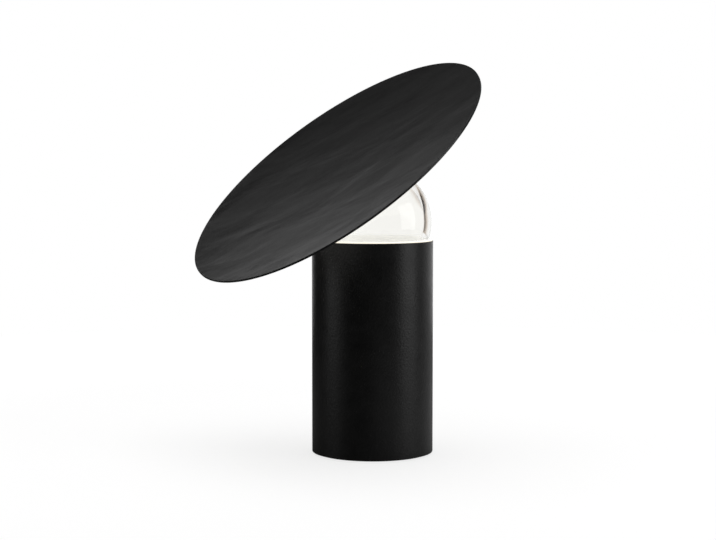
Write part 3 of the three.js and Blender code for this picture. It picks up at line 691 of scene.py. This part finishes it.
# %% [markdown]
# ## Hub
#
# The hub closes the ball's opening: a flange on top, a spigot through the opening, a silicone seal that
# grips the glass, and a ring nut under it. The ring nut is meant to be knurled, by picking every second face
# of its rim and pressing it in a little.
#
# Known fault: all its points are still selected when edit mode starts, so the pick has no effect. The whole
# ring is copied inwards as a second shell, and the rim stays smooth. The mend is to deselect everything in
# edit mode before the faces are picked.

# %% Turn the hub
hub_bottom = 56.286
hub_top = 58.186
hub_radius = 22
spigot_bottom = 43.286
spigot_radius = 13
socket_radius = 6.3
socket_floor = 46.286
outline = [
    (0, spigot_bottom),
    (spigot_radius, spigot_bottom, 0.4),
    (spigot_radius, hub_bottom),
    (hub_radius, hub_bottom, 0.2),
    (hub_radius, hub_top, 0.6),
    (socket_radius, hub_top, 0.3),
    (socket_radius, socket_floor),
    (0, socket_floor),
]
hub = turned("hub_flange", outline, steps=96)
with_the_disc(hub)
dress(hub, "ball", "turned_aluminium", bright_turned, "hub_cap")

opening_bottom = sqrt(inner_radius ** 2 - opening_radius ** 2)
nut_top = opening_bottom - fit
nut_bottom = nut_top - 3.8
nut_outer = opening_radius - fit
seal_bottom = nut_top + 0.2
seal_top = hub_bottom - 0.2
bore = spigot_radius + fit
outline = [(bore, seal_bottom, 0.5), (nut_outer, seal_bottom, 0.8)]
outline += [(nut_outer, seal_top, 0.8), (bore, seal_top, 0.5)]
seal = turned("hub_seal", outline, steps=96, closed=True)
with_the_disc(seal)
dress(seal, "ball", "seat_silicone", silicone, "hub_gasket")

# %% Turn the ring nut
knurls = 48
pressed_in = 0.975
outline = [(bore, nut_bottom, 0.3), (nut_outer, nut_bottom, 0.5)]
outline += [(nut_outer, nut_top, 0.5), (bore, nut_top, 0.3)]
nut = turned("hub_ring_nut", outline, steps=2 * knurls, closed=True)
step = pi / knurls
for face in nut.data.polygons:
    middle = face.center
    on_rim = hypot(middle.x, middle.y) > (nut_outer - 0.2) * MM and abs(face.normal.z) < 0.1
    face.select = on_rim and round(atan2(middle.y, middle.x) / step - 0.5) % 2 == 0
picked = sum(face.select for face in nut.data.polygons)
bpy.ops.object.mode_set(mode="EDIT")
bpy.ops.mesh.select_mode(type="FACE")
bpy.ops.mesh.extrude_region_move()
bpy.ops.transform.resize(value=(pressed_in, pressed_in, 1), center_override=(0, 0, 0))
bpy.ops.object.mode_set(mode="OBJECT")
print("picked faces:", picked)
with_the_disc(nut)
dress(nut, "ball", "turned_aluminium", bright_turned, "hub_clamp")

# %% [markdown]
# ## Disc
#
# The disc is spun from two-millimetre sheet into a very shallow dish, hollow side up. Its edge is turned
# square, with a small radius on the upper arris that shines as a thin line just inside the dark edge. The
# upper side is brushed and black, and the underside, which throws the light down, is painted white.

# %% Spin the disc
disc_radius = 165.75
disc_thickness = 2
disc_underside = 58.486
dish_depth = 8.6
dish_radius = (disc_radius ** 2 + dish_depth ** 2) / (2 * dish_depth)
rings = 28
radii = [disc_radius * ring / rings for ring in range(rings + 1)]
dish = [(radius, dish_radius - sqrt(dish_radius ** 2 - radius ** 2)) for radius in radii]
under = [(radius, disc_underside + rise) for radius, rise in dish]
over = [(radius, disc_underside + disc_thickness + rise) for radius, rise in reversed(dish)]
under[-1] = (*under[-1], 0.3)
over[0] = (*over[0], 0.5)
disc = turned("dished_disc", under + over, steps=256)
with_the_disc(disc)
dress(disc, "shade", "black_brushed_aluminium", disc_black, "shade_disc")

# %% Paint its underside
disc.data.materials.append(white_paint)
for face in disc.data.polygons:
    if face.normal.dot(disc_axis) < -0.99:
        face.material_index = 1
print("painted faces:", sum(face.material_index for face in disc.data.polygons))

# %% [markdown]
# ## Inlet and push button
#
# The low-voltage inlet and the push button are in the tube's back. Each is turned upright, then laid along
# the back at its height. The button's face is slightly hollow for the fingertip.

# %% Make the inlet
back = tube_radius + fit
inlet_rear = 38
flange_radius = 6.5
flange_face = back + 1.5
inlet_bore = 3.2
bore_floor = flange_face - 9
outline = [
    (0, inlet_rear),
    (inlet_radius, inlet_rear),
    (inlet_radius, back),
    (flange_radius, back),
    (flange_radius, flange_face, 0.5),
    (inlet_bore, flange_face, 0.3),
    (inlet_bore, bore_floor),
    (0, bore_floor),
]
inlet = turned("inlet_socket", outline, steps=72)
on_the_back(inlet, inlet_height)
dress(inlet, "base", "black_plastic", black_plastic, "inlet_body")

pin_radius = 1
pin_foot = bore_floor + 0.1
pin_tip = flange_face - 1
outline = [(0, pin_foot), (pin_radius, pin_foot), (pin_radius, pin_tip, 0.5), (0, pin_tip)]
pin = turned("contact_pin", outline, steps=32)
on_the_back(pin, inlet_height)
dress(pin, "base", "nickel", nickel, "inlet_pin")

# %% Make the push button
housing_rear = 42
guide_radius = 5.3
step_height = 57.3
bezel_radius = 9
bezel_face = back + 2
bezel_bore = 4.6
outline = [
    (guide_radius, housing_rear),
    (switch_radius, housing_rear),
    (switch_radius, back),
    (bezel_radius, back, 0.2),
    (bezel_radius, bezel_face, 0.7),
    (bezel_bore, bezel_face, 0.3),
    (bezel_bore, step_height),
    (guide_radius, step_height),
]
bezel = turned("button_bezel", outline, steps=96, closed=True)
on_the_back(bezel, switch_height)
dress(bezel, "base", "black_anodised", anodised, "switch_housing")

guided_radius = 5
flange_rear = 55
flange_front = flange_rear + 2
button_radius = 4.3
button_face = bezel_face + 2.5
hollow_radius = 2.6
hollow_depth = 0.4
outline = [
    (0, flange_rear),
    (guided_radius, flange_rear),
    (guided_radius, flange_front),
    (button_radius, flange_front),
    (button_radius, button_face, 0.6),
    (hollow_radius, button_face - hollow_depth / 2, 0.4),
    (0, button_face - hollow_depth),
]
button = turned("push_button", outline, steps=72)
on_the_back(button, switch_height)
dress(button, "button", "black_anodised", anodised, "switch_button")

# %% [markdown]
# ## The other CAD pieces
#
# The rods, screws, heat sink, driver and leads inside the tube keep their CAD shapes. Each gets the finish
# of its material slot.

# %% Dress the CAD pieces
finish_of = {
    "black_powder_coat": powder_coat,
    "black_brushed_aluminium": disc_black,
    "black_anodised": anodised,
    "clear_glass": glass,
    "frosted_lens": frosted,
    "seat_silicone": silicone,
    "white_reflector": reflector,
    "white_plastic": white_plastic,
    "black_plastic": black_plastic,
    "led_phosphor": phosphor,
    "circuit_board": board,
    "lead_sheath": sheath,
    "foot_rubber": rubber,
    "zinc_steel": zinc,
    "turned_aluminium": bright_turned,
    "cast_iron": iron,
    "nickel": nickel,
}
for part in frame["record"]["subparts"]:
    for material_slot in frame["nodes"][part["node"]].material_slots:
        material_slot.material = finish_of[part["material_slot"]]
